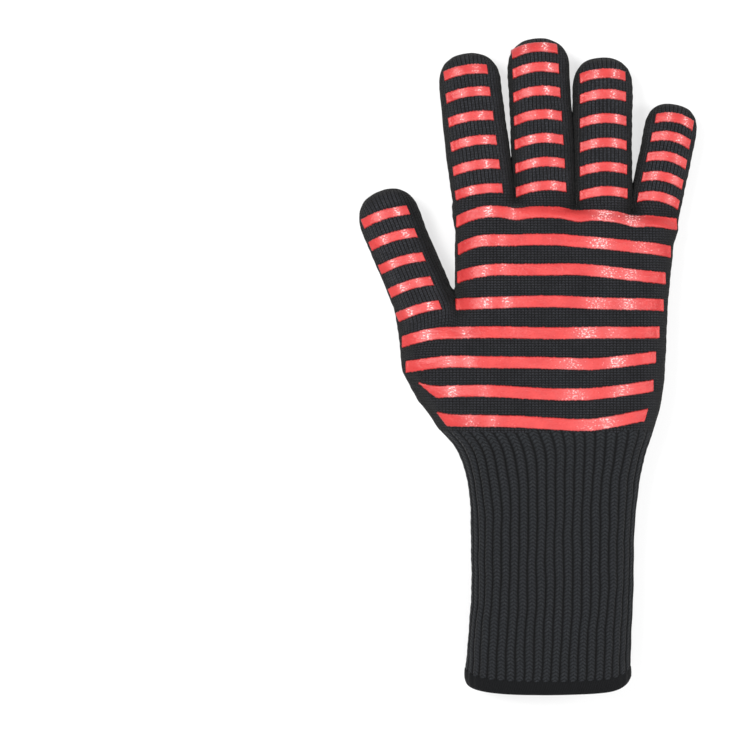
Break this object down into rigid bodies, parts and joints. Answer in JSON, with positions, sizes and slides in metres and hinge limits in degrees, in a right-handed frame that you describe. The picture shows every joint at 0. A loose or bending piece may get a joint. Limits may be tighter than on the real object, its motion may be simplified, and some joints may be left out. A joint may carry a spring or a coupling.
{
  "type": "heat resistant glove",
  "caption": "Long knitted heat glove for the left hand, lying open on its back, with raised grip stripes, a ribbed gauntlet cuff and fingers that bend.",
  "frame": {"origin": "middle of the glove's plan, on the table it lies on", "axes": "+Y from the cuff to the fingertips, -X towards the thumb, +Z out of the palm"},
  "size_m": [0.1749, 0.3397, 0.0349],
  "materials": {
    "knit": "charcoal stockinette knit",
    "rib_knit": "charcoal rib knit",
    "hem": "overlocked black hem",
    "liner": "soft cotton jersey",
    "silicone": "glossy coral red silicone"
  },
  "bodies": {
    "palm": {"palm_shell": "knit", "palm_liner": "liner", "palm_stripes": "silicone", "back_stripes": "silicone"},
    "cuff": {"cuff": "rib_knit", "cuff_liner": "liner", "cuff_hem": "hem"},
    "index_base": {"index_base_shell": "knit", "index_base_stripes": "silicone", "index_base_liner": "liner"},
    "index_middle": {"index_middle_shell": "knit", "index_middle_stripes": "silicone", "index_middle_liner": "liner"},
    "index_tip": {"index_tip_shell": "knit", "index_tip_stripes": "silicone", "index_tip_liner": "liner"},
    "middle_base": {"middle_base_shell": "knit", "middle_base_stripes": "silicone", "middle_base_liner": "liner"},
    "middle_middle": {"middle_middle_shell": "knit", "middle_middle_stripes": "silicone", "middle_middle_liner": "liner"},
    "middle_tip": {"middle_tip_shell": "knit", "middle_tip_stripes": "silicone", "middle_tip_liner": "liner"},
    "ring_base": {"ring_base_shell": "knit", "ring_base_stripes": "silicone", "ring_base_liner": "liner"},
    "ring_middle": {"ring_middle_shell": "knit", "ring_middle_stripes": "silicone", "ring_middle_liner": "liner"},
    "ring_tip": {"ring_tip_shell": "knit", "ring_tip_stripes": "silicone", "ring_tip_liner": "liner"},
    "pinkie_base": {"pinkie_base_shell": "knit", "pinkie_base_stripes": "silicone", "pinkie_base_liner": "liner"},
    "pinkie_middle": {"pinkie_middle_shell": "knit", "pinkie_middle_stripes": "silicone", "pinkie_middle_liner": "liner"},
    "pinkie_tip": {"pinkie_tip_shell": "knit", "pinkie_tip_stripes": "silicone", "pinkie_tip_liner": "liner"},
    "thumb_base": {"thumb_base_shell": "knit", "thumb_base_stripes": "silicone", "thumb_base_liner": "liner"},
    "thumb_tip": {"thumb_tip_shell": "knit", "thumb_tip_stripes": "silicone", "thumb_tip_liner": "liner"}
  },
  "joints": [
    {"name": "wrist_bend", "type": "hinge", "parent": "palm", "child": "cuff", "pos_m": [0.01222, -0.0414, 0.02069], "axis": [-1, 0, 0], "range_deg": [-25, 40]},
    {"name": "index_knuckle", "type": "hinge", "parent": "palm", "child": "index_base", "pos_m": [-0.0244, 0.0977, 0.0205], "axis": [1, 0, 0], "range_deg": [0, 70]},
    {"name": "index_middle_bend", "type": "hinge", "parent": "index_base", "child": "index_middle", "pos_m": [-0.02585, 0.11027, 0.0205], "axis": [1, 0, 0], "range_deg": [0, 75]},
    {"name": "index_tip_bend", "type": "hinge", "parent": "index_middle", "child": "index_tip", "pos_m": [-0.02876, 0.1354, 0.0205], "axis": [1, 0, 0], "range_deg": [0, 45]},
    {"name": "middle_knuckle", "type": "hinge", "parent": "palm", "child": "middle_base", "pos_m": [0.0079, 0.0984, 0.0205], "axis": [1, 0, 0], "range_deg": [0, 70]},
    {"name": "middle_middle_bend", "type": "hinge", "parent": "middle_base", "child": "middle_middle", "pos_m": [0.00678, 0.12298, 0.0205], "axis": [1, 0, 0], "range_deg": [0, 75]},
    {"name": "middle_tip_bend", "type": "hinge", "parent": "middle_middle", "child": "middle_tip", "pos_m": [0.00567, 0.14755, 0.0205], "axis": [1, 0, 0], "range_deg": [0, 45]},
    {"name": "ring_knuckle", "type": "hinge", "parent": "palm", "child": "ring_base", "pos_m": [0.0388, 0.0953, 0.0205], "axis": [1, 0, 0], "range_deg": [0, 70]},
    {"name": "ring_middle_bend", "type": "hinge", "parent": "ring_base", "child": "ring_middle", "pos_m": [0.0388, 0.10785, 0.0205], "axis": [1, 0, 0], "range_deg": [0, 75]},
    {"name": "ring_tip_bend", "type": "hinge", "parent": "ring_middle", "child": "ring_tip", "pos_m": [0.0388, 0.13295, 0.0205], "axis": [1, 0, 0], "range_deg": [0, 45]},
    {"name": "pinkie_knuckle", "type": "hinge", "parent": "palm", "child": "pinkie_base", "pos_m": [0.0681, 0.0915, 0.0185], "axis": [1, 0, 0], "range_deg": [0, 60]},
    {"name": "pinkie_middle_bend", "type": "hinge", "parent": "pinkie_base", "child": "pinkie_middle", "pos_m": [0.07012, 0.1019, 0.0185], "axis": [1, 0, 0], "range_deg": [0, 70]},
    {"name": "pinkie_tip_bend", "type": "hinge", "parent": "pinkie_middle", "child": "pinkie_tip", "pos_m": [0.07215, 0.11231, 0.0185], "axis": [1, 0, 0], "range_deg": [0, 45]},
    {"name": "thumb_knuckle", "type": "hinge", "parent": "palm", "child": "thumb_base", "pos_m": [-0.0546, 0.0356, 0.0225], "axis": [0.9239, 0.3827, 0], "range_deg": [0, 55]},
    {"name": "thumb_tip_bend", "type": "hinge", "parent": "thumb_base", "child": "thumb_tip", "pos_m": [-0.0647, 0.05999, 0.0225], "axis": [0.9239, 0.3827, 0], "range_deg": [0, 65]}
  ]
}
